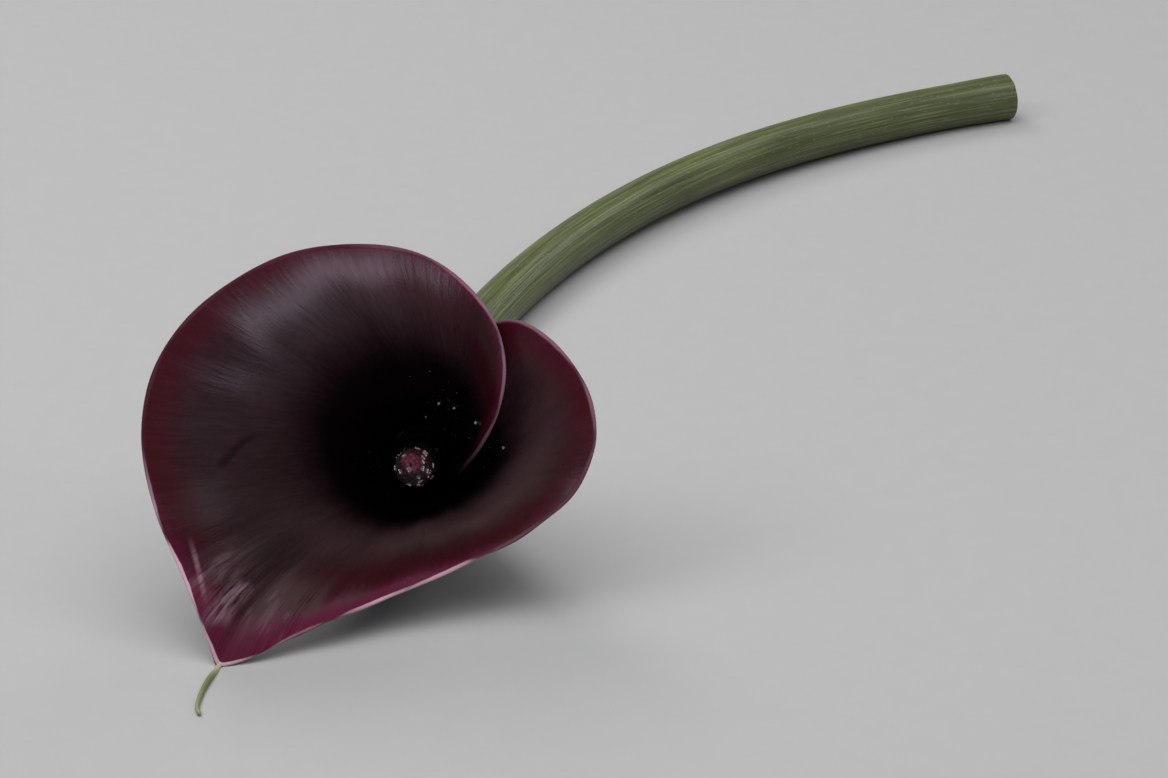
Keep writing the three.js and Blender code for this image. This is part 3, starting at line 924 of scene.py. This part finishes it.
def cut_rings(edge, shares, bumps):
    """Rings inwards over the cut face from its edge, a little hollow, with bumps"""
    centre = edge.mean(axis=0)
    before, end = stem_place(np.array((STEM_LENGTH - CUT_DIRECTION_RUN, STEM_LENGTH)))
    rise = bumps - CUT_HOLLOW * (1 - shares ** 4)[:, None]
    return centre + (edge - centre) * shares[:, None, None] + rise[..., None] * unit(end - before)


def build_stem():
    rng = np.random.default_rng(SEED + 1)
    run = stem_runs()
    angles = np.arange(STEM_SIDES) * TURN / STEM_SIDES
    radii = stem_radii(run, angles, rng.random(4) * TURN)
    shell = tube_points(stem_place(run), (0, 0, 1), radii)
    shares = np.linspace(1, 0, CUT_RINGS + 2)[1:-1]
    bumps = CUT_BUMPS * rng.standard_normal((CUT_RINGS, STEM_SIDES))
    rings = np.concatenate((shell, cut_rings(shell[-1], shares, bumps)))
    points, faces = closed_tube(rings)

    on_cut = np.concatenate((np.zeros(len(run) - 1), np.ones(CUT_RINGS + 1)))
    values = {
        "run": tube_values(np.concatenate((run, np.full(CUT_RINGS, STEM_LENGTH))), STEM_SIDES),
        "turn": np.concatenate((np.tile(np.cos(angles), len(rings)), (0, 0))),
        "over": np.concatenate((np.tile(np.sin(angles), len(rings)), (0, 0))),
        "cut": tube_values(on_cut, STEM_SIDES),
        "out": tube_values(np.concatenate((np.ones(len(run)), shares)), STEM_SIDES),
    }
    values["out"][-1] = 0
    return mesh_piece("lily_stem", points, faces, values)


# Pollen


def grain_mesh(name, grains, tones):
    """One mesh of many small grains, each a little uneven by its tone"""
    shape = bmesh.new()
    bmesh.ops.create_icosphere(shape, subdivisions=1, radius=1)
    ball = np.array([vertex.co[:] for vertex in shape.verts])
    sides = [tuple(vertex.index for vertex in face.verts) for face in shape.faces]
    shape.free()
    points = []
    faces = []
    for (place, size), tone in zip(grains, tones):
        uneven = GRAIN_UNEVENNESS * (1 - tone)
        start = len(points) * len(ball)
        points.append(place + ball * np.array((1, 1 - uneven, 1 + uneven)) * size)
        faces += [tuple(start + i for i in side) for side in sides]
    values = {"tone": np.repeat(tones, len(ball))}
    return mesh_piece(name, np.concatenate(points), faces, values)


def wall_place(across, along, size):
    """A world place where a grain of this size lies on the inside of the spathe"""
    one = np.array((across,))
    t = np.array((along,))
    middle = sheet(one, t)[0, 0]
    normal = sheet_directions(one, t)[0][0, 0]
    rise = fold_height(across, along) - sheet_thickness(along) / 2 - WALL_STAND * size
    return to_world(middle + normal * rise)


def build_pollen():
    rng = np.random.default_rng(SEED + 2)
    grains = []
    axis = spadix_surface(np.linspace(0, 1, AXIS_SAMPLES))[0]
    middles = floret_middles()
    for floret in middles[dusted_florets(middles)]:
        centre = axis[np.argmin(np.linalg.norm(axis - floret, axis=1))]
        out = unit(floret - centre)
        for _ in range(rng.integers(*GRAINS_IN_A_CLUMP)):
            size = rng.uniform(*GRAIN_SIZES)
            aside = rng.normal(0, CLUMP_SPREAD, 3)
            aside -= out * (aside @ out)
            rise = out * (CLUMP_HEIGHT + CLUMP_STAND * size)
            grains.append((to_world(floret + aside + rise), size))
    for across, along in POLLEN_SPECKS:
        size = rng.uniform(*SPECK_SIZES)
        grains.append((wall_place(across, along, size), size))
    for across, along, spread_across, spread_along, count in DUSTINGS:
        for _ in range(count):
            size = rng.uniform(*DUST_SIZES)
            here = np.clip(across + spread_across * rng.normal(), -1, 1)
            up = np.clip(along + spread_along * rng.normal(), *DUSTING_LIMITS)
            grains.append((wall_place(here, up, size), size))
    return grain_mesh("lily_pollen", grains, rng.random(len(grains)))


# Materials


class Graph:
    """Short calls that add and link shader nodes of one material"""

    def __init__(self, name):
        self.material = bpy.data.materials.new(name)
        self.material.use_nodes = True
        self.nodes = self.material.node_tree.nodes
        self.links = self.material.node_tree.links

    def link(self, value, socket):
        """Joins an output to a socket, or sets the socket to a number or a colour"""
        if isinstance(value, bpy.types.NodeSocket):
            self.links.new(value, socket)
        elif isinstance(value, tuple):
            socket.default_value = (*value, 1)
        elif value is not None:
            socket.default_value = value

    def add(self, kind, sockets, **settings):
        """The outputs of a new node"""
        node = self.nodes.new("ShaderNode" + kind)
        for name, setting in settings.items():
            setattr(node, name, setting)
        for name, value in sockets.items():
            self.link(value, node.inputs[name])
        return node.outputs

    def value(self, name):
        """A painting value of the mesh"""
        return self.add("Attribute", {}, attribute_name=name)["Fac"]

    def place(self):
        return self.add("TexCoord", {})["Object"]

    def math(self, operation, a, b=None):
        return self.add("Math", {0: a, 1: b}, operation=operation)[0]

    def plus(self, a, b):
        return self.math("ADD", a, b)

    def minus(self, a, b):
        return self.math("SUBTRACT", a, b)

    def times(self, a, b):
        return self.math("MULTIPLY", a, b)

    def larger(self, a, b):
        return self.math("MAXIMUM", a, b)

    def fade(self, value, start, end):
        """0 where value is at start and 1 where it is at end, smoothly between"""
        sockets = {"Value": value, "From Min": start, "From Max": end}
        return self.add("MapRange", sockets, interpolation_type="SMOOTHSTEP")["Result"]

    def band(self, value, start, full_from, full_to, end):
        """1 between the two middle numbers, fading to 0 at start and at end"""
        return self.times(self.fade(value, start, full_from), self.fade(value, end, full_to))

    def vector(self, x, y, z=0.0):
        return self.add("CombineXYZ", {0: x, 1: y, 2: z})[0]

    def noise(self, vector, scale, detail=3.0, roughness=0.55):
        sockets = {"Vector": vector, "Scale": scale, "Detail": detail, "Roughness": roughness}
        return self.add("TexNoise", sockets)["Fac"]

    def cells(self, vector, scale):
        return self.add("TexVoronoi", {"Vector": vector, "Scale": scale})["Distance"]

    def mix(self, share, a, b):
        """The two colours mixed, b by its share. Sockets 6 and 7 and output 2 are the colours."""
        return self.add("Mix", {0: share, 6: a, 7: b}, data_type="RGBA")[2]

    def tinted(self, colour, tint, share, strength):
        """colour with tint over it, as far as share times strength says"""
        return self.mix(self.times(share, strength), colour, tint)

    def bump(self, height, distance, strength, normal=None):
        sockets = {"Height": height, "Distance": distance, "Strength": strength, "Normal": normal}
        return self.add("Bump", sockets)[0]

    def finish(self, colour, roughness, normal, shine=0.5):
        inputs = self.nodes["Principled BSDF"].inputs
        self.link(colour, inputs["Base Color"])
        self.link(roughness, inputs["Roughness"])
        self.link(normal, inputs["Normal"])
        self.link(shine, inputs["Specular IOR Level"])
        return self.material


def shifted(g, value, streaks, amount):
    """value moved to and fro by the streaks, so that what fades with it has a streaky edge"""
    return g.plus(value, g.times(g.minus(streaks, 0.5), amount))


def vein_streaks(g, fine, lengthwise, detail=4.0):
    """Noise drawn out along the veins of the spathe"""
    across = g.times(g.value("across"), fine)
    along = g.times(g.value("along"), lengthwise)
    return g.noise(g.vector(across, along), 1.0, detail, 0.6)


def wall_colour(g, fibres, uneven):
    """The inside: a dark satin wall with painted light on its lip, wine at the margin, painted
    shade past the roll and black in the throat, partly painted shade
    """
    wall = g.tinted(WALL_RGB, WALL_LIGHT_RGB, g.fade(fibres, 0.40, 0.70), 0.45)
    # painted light on the lip below the throat
    wall = g.mix(g.value("lip"), wall, LIP_PAINTED_LIGHT_RGB)
    widening = g.plus(g.times(g.value("magenta"), 0.8), 1.0)
    from_band = g.math("DIVIDE", uneven, widening)
    wall = g.tinted(wall, WINE_RGB, g.fade(from_band, *WINE_BAND), 0.95)
    wall = g.tinted(wall, THROAT_DARK_AND_SHADE_RGB, g.fade(g.value("across"), *ROLLED_SHADE), 0.45)
    # the throat's black: partly its own dark, partly painted shade deep in the recess
    return g.mix(g.value("throat"), THROAT_DARK_AND_SHADE_RGB, wall)


def back_colour(g, streaks, uneven):
    """The outside: darkest low on the tube, streaked lighter, partly as a painted satin sheen, and
    wine towards the margin
    """
    back = g.mix(g.fade(g.value("height"), *BACK_RISE), TUBE_RGB, BACK_RGB)
    # lighter streaks, partly a painted satin sheen
    back = g.tinted(back, BACK_STREAK_AND_SHEEN_RGB, g.fade(streaks, 0.42, 0.68), 0.6)
    return g.tinted(back, WINE_RGB, g.fade(uneven, *BACK_WINE_BAND), 0.8)


def magenta_tint(g, uneven, outside):
    """How strong the magenta band at the margin is"""
    magenta = g.value("magenta")
    near_tip = g.times(g.fade(g.value("tip"), *MAGENTA_NEAR_TIP), MAGENTA_TIP_REACH)
    reach = g.plus(g.plus(near_tip, MAGENTA_LEAST), g.times(magenta, MAGENTA_REACH))
    reach = g.plus(reach, g.times(g.minus(1.0, g.value("inside")), MAGENTA_BACK_REACH))
    strength = g.plus(g.times(magenta, 0.92), 0.05)
    strength = g.larger(strength, g.times(outside, 0.5))
    return g.times(g.fade(g.math("DIVIDE", uneven, reach), 1.7, 0.1), strength)


def painted_highlight_strokes(g, fibres):
    """How strong the painted highlight strokes near the tip are, with faint stray ones between them
    """
    stray = g.band(g.value("tip"), *STRAY_ENDS)
    stray = g.times(stray, g.fade(vein_streaks(g, 42.0, 7.0), 0.50, 0.66))
    strokes = g.plus(g.times(stray, 0.3), g.times(g.value("stroke"), 0.95))
    return g.times(g.times(strokes, g.fade(fibres, 0.32, 0.66)), g.value("inside"))


def side_highlight_line(g, fibres):
    """How strong the fine painted highlight line along a fold beside the inner margin is"""
    tip = g.value("tip")
    beside = g.math("ABSOLUTE", g.minus(g.value("edge"), g.times(tip, SIDE_LINE_SHARE)))
    line = g.times(g.fade(beside, *SIDE_LINE_WIDTH), g.fade(g.value("across"), *SIDE_LINE_SIDE))
    line = g.times(line, g.band(tip, *SIDE_LINE_ENDS))
    line = g.times(line, g.plus(g.times(g.fade(fibres, 0.35, 0.6), 0.17), 0.05))
    return g.times(line, g.value("inside"))


def shaded_crease_line(g):
    """1 along the crease in the left wall, fading to 0 beside it, at its ends and on the back; it
    both bumps the crease and darkens it as painted shade
    """
    across = g.value("across")
    aside = g.minus(across, CREASE_ACROSS)
    slope = g.plus(g.times(aside, CREASE_BEND), CREASE_SLOPE)
    line = g.plus(g.times(aside, slope), CREASE_ALONG)
    away = g.math("ABSOLUTE", g.minus(g.value("along"), line))
    line = g.times(g.fade(away, *CREASE_WIDTH), g.band(across, *CREASE_ENDS))
    return g.times(line, g.value("inside"))


def foot_tint(g, streaks, outside):
    """How strong the dull green brown is: all over the callus, and low on the outside"""
    low = shifted(g, g.value("height"), streaks, FOOT_UNEVENNESS)
    base = g.times(g.fade(low, *FOOT_RISE), outside)
    return g.times(g.larger(base, g.value("foot")), 0.9)


def tail_colour(g, colour):
    """colour with the tail over it, cream at its root and green further on"""
    tail = g.value("tail")
    green = g.mix(g.fade(tail, 0.5, 1.0), TAIL_RGB, TAIL_END_RGB)
    green = g.mix(g.fade(tail, 0.2, 0.5), TAIL_ROOT_RGB, green)
    return g.mix(g.fade(tail, 0.0, 0.05), colour, green)


def spathe_material():
    g = Graph("spathe_tissue")
    edge = g.value("edge")
    inside = g.value("inside")
    outside = g.fade(inside, 0.4, 0.0)
    streaks = vein_streaks(g, 95.0, 2.6)
    fibres = vein_streaks(g, 170.0, 12.0)
    broad = vein_streaks(g, 22.0, 1.2, 2.0)
    patches = g.noise(g.place(), 55.0)
    grain = g.noise(g.place(), 1700.0, 2.0)
    uneven = shifted(g, edge, streaks, MARGIN_UNEVENNESS)
    magenta = magenta_tint(g, uneven, outside)
    shaded_crease = shaded_crease_line(g)

    colour = g.mix(inside, back_colour(g, streaks, uneven), wall_colour(g, fibres, uneven))
    colour = g.mix(magenta, colour, MAGENTA_RGB)
    colour = g.tinted(colour, THROAT_DARK_AND_SHADE_RGB, g.fade(patches, 0.35, 0.75), 0.22)
    colour = g.tinted(colour, THROAT_DARK_AND_SHADE_RGB, g.fade(broad, 0.52, 0.75), 0.25)
    # painted highlight strokes near the tip
    colour = g.mix(painted_highlight_strokes(g, fibres), colour, TIP_HIGHLIGHT_RGB)
    # painted highlight along a fold beside the inner margin
    colour = g.mix(side_highlight_line(g, fibres), colour, RIM_AND_HIGHLIGHT_RGB)
    # painted shade in the crease
    colour = g.tinted(colour, THROAT_DARK_AND_SHADE_RGB, shaded_crease, 0.6)
    pale = g.larger(g.times(g.value("pale"), 0.92), g.times(outside, 0.3))
    colour = g.tinted(colour, RIM_AND_HIGHLIGHT_RGB, g.fade(edge, *PALE_EDGE), pale)
    colour = g.mix(foot_tint(g, streaks, outside), colour, FOOT_RGB)
    colour = tail_colour(g, colour)

    roughness = g.plus(g.times(fibres, 0.24), 0.15)
    roughness = g.plus(roughness, g.times(grain, 0.08))
    roughness = g.larger(roughness, g.times(g.fade(edge, *MATT_EDGE), 0.72))
    roughness = g.larger(roughness, g.times(magenta, 0.75))
    ridges = g.plus(0.5, g.times(g.fade(g.value("tip"), *RIDGES_NEAR_TIP), 2.4))
    normal = g.bump(g.times(streaks, ridges), 0.00022, 0.7)
    normal = g.bump(fibres, 0.0001, 0.5, normal)
    normal = g.bump(g.minus(1.0, shaded_crease), 0.0003, 0.5, normal)
    normal = g.bump(grain, 0.00002, 0.4, normal)
    return g.finish(colour, roughness, normal, shine=0.15)


def spadix_material():
    g = Graph("spadix_florets")
    dome = g.value("dome")
    tone = g.value("tone")
    lobes = g.noise(g.place(), 1500.0, 2.0)
    colour = g.mix(tone, FLORET_RGB, FLORET_LIGHT_RGB)
    colour = g.mix(g.value("cap"), colour, g.mix(tone, CAP_RGB, CAP_LIGHT_RGB))
    dusty = g.times(g.value("dust"), g.plus(g.times(lobes, 0.6), 0.5))
    dusty = g.times(dusty, g.fade(dome, 0.35, 0.85))
    faint = g.times(g.times(g.fade(lobes, 0.50, 0.75), g.fade(tone, 0.4, 1.0)), 0.18)
    colour = g.mix(g.larger(dusty, faint), colour, DUSTED_RGB)
    # painted shade in the crevices between the florets' domes
    colour = g.mix(g.fade(dome, 0.75, 0.25), colour, CREVICE_SHADE_RGB)
    return g.finish(colour, 0.62, g.bump(lobes, 0.00012, 0.7), shine=0.25)


def pollen_material():
    g = Graph("pollen_grains")
    speckle = g.noise(g.place(), 5200.0, 2.0)
    colour = g.mix(g.value("tone"), POLLEN_RGB, POLLEN_WARM_RGB)
    return g.finish(colour, 0.75, g.bump(speckle, 0.00005, 0.8), shine=0.3)


def stem_wrap(g, lengthwise):
    """A place round and along the stem, so that patterns follow its bend"""
    return g.vector(g.value("turn"), g.value("over"), g.times(g.value("run"), lengthwise))


def cut_colour(g, patches):
    """The cut flesh, with darker bundles, a green rim and dry patches"""
    bundles = g.cells(g.place(), 900.0)
    flesh = g.mix(g.fade(bundles, 0.30, 0.12), CUT_RGB, CUT_BUNDLE_RGB)
    flesh = g.mix(g.fade(g.value("out"), 0.80, 0.97), flesh, STEM_LIGHT_RGB)
    return g.tinted(flesh, CUT_DRY_RGB, g.fade(patches, 0.4, 0.7), 0.4)


def stem_material():
    g = Graph("stem_skin")
    streaks = g.noise(stem_wrap(g, 6.0), 6.0, 3.0, 0.6)
    fibres = g.noise(stem_wrap(g, 2.2), 15.0, 2.0, 0.6)
    flecks = g.cells(stem_wrap(g, 50.0), 7.0)
    patches = g.noise(g.place(), 30.0)
    colour = g.mix(g.fade(streaks, 0.3, 0.7), STEM_DARK_RGB, STEM_RGB)
    colour = g.tinted(colour, STEM_LIGHT_RGB, g.fade(fibres, 0.48, 0.66), 0.65)
    colour = g.tinted(colour, STEM_DARK_RGB, g.fade(fibres, 0.44, 0.30), 0.5)
    colour = g.tinted(colour, STEM_DARK_RGB, g.fade(patches, 0.45, 0.75), 0.3)
    colour = g.tinted(colour, STEM_FLECK_RGB, g.fade(flecks, 0.20, 0.10), 0.5)
    flush = shifted(g, g.value("run"), streaks, FLUSH_UNEVENNESS)
    colour = g.tinted(colour, FOOT_RGB, g.fade(flush, *STEM_FLUSH), 0.9)
    cut = g.value("cut")
    colour = g.mix(cut, colour, cut_colour(g, patches))
    roughness = g.plus(g.times(streaks, 0.2), 0.3)
    roughness = g.plus(roughness, g.times(cut, 0.2))
    normal = g.bump(fibres, 0.00022, 0.6)
    normal = g.bump(streaks, 0.0004, 0.3, normal)
    return g.finish(colour, roughness, normal)


def floor_material():
    g = Graph("floor_paper")
    soft = g.noise(g.place(), 160.0, 4.0)
    colour = g.tinted(FLOOR_RGB, FLOOR_SHADE_RGB, soft, 0.5)
    return g.finish(colour, 0.75, g.bump(soft, 0.0001, 0.25))


# Stage


def build_floor():
    bpy.ops.mesh.primitive_plane_add(size=8, location=(0, 0, 0))
    floor = bpy.context.object
    floor.name = "floor"
    floor.data.materials.append(floor_material())


def add_light(name, place, aim, size, power, colour):
    light = bpy.data.lights.new(name, "AREA")
    light.shape = "RECTANGLE"
    light.size, light.size_y = size
    light.energy = power
    light.color = colour
    lamp = bpy.data.objects.new(name, light)
    lamp.location = place
    lamp.rotation_euler = (Vector(aim) - Vector(place)).to_track_quat("-Z", "Y").to_euler()
    lamp.visible_camera = False
    bpy.context.collection.objects.link(lamp)


def build_lights():
    world = bpy.data.worlds.new("room")
    world.use_nodes = True
    background = world.node_tree.nodes["Background"]
    background.inputs["Color"].default_value = (*ROOM_RGB, 1)
    background.inputs["Strength"].default_value = ROOM_STRENGTH
    bpy.context.scene.world = world
    bpy.context.scene.view_settings.view_transform = "Standard"
    for light in LIGHTS:
        add_light(*light)


def build_camera():
    lens = bpy.data.cameras.new("camera")
    lens.lens = CAMERA_LENS
    lens.sensor_width = 36
    lens.clip_start = 0.01
    camera = bpy.data.objects.new("camera", lens)
    back = Vector((0, -math.cos(BLOOM_RISE), math.sin(BLOOM_RISE)))
    camera.location = CAMERA_AIM + back * CAMERA_DISTANCE
    camera.rotation_euler = (-back).to_track_quat("-Z", "Y").to_euler()
    bpy.context.collection.objects.link(camera)
    bpy.context.scene.camera = camera


def dress(piece, material, node=None):
    piece.data.materials.append(material)
    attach(piece, "root")
    if node:
        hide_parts(node)


build_camera()
dress(build_spathe(), spathe_material(), "spathe")
dress(build_spadix(), spadix_material(), "spadix")
dress(build_stem(), stem_material(), "stem")
pollen = build_pollen()
dress(pollen, pollen_material())
build_floor()
build_lights()
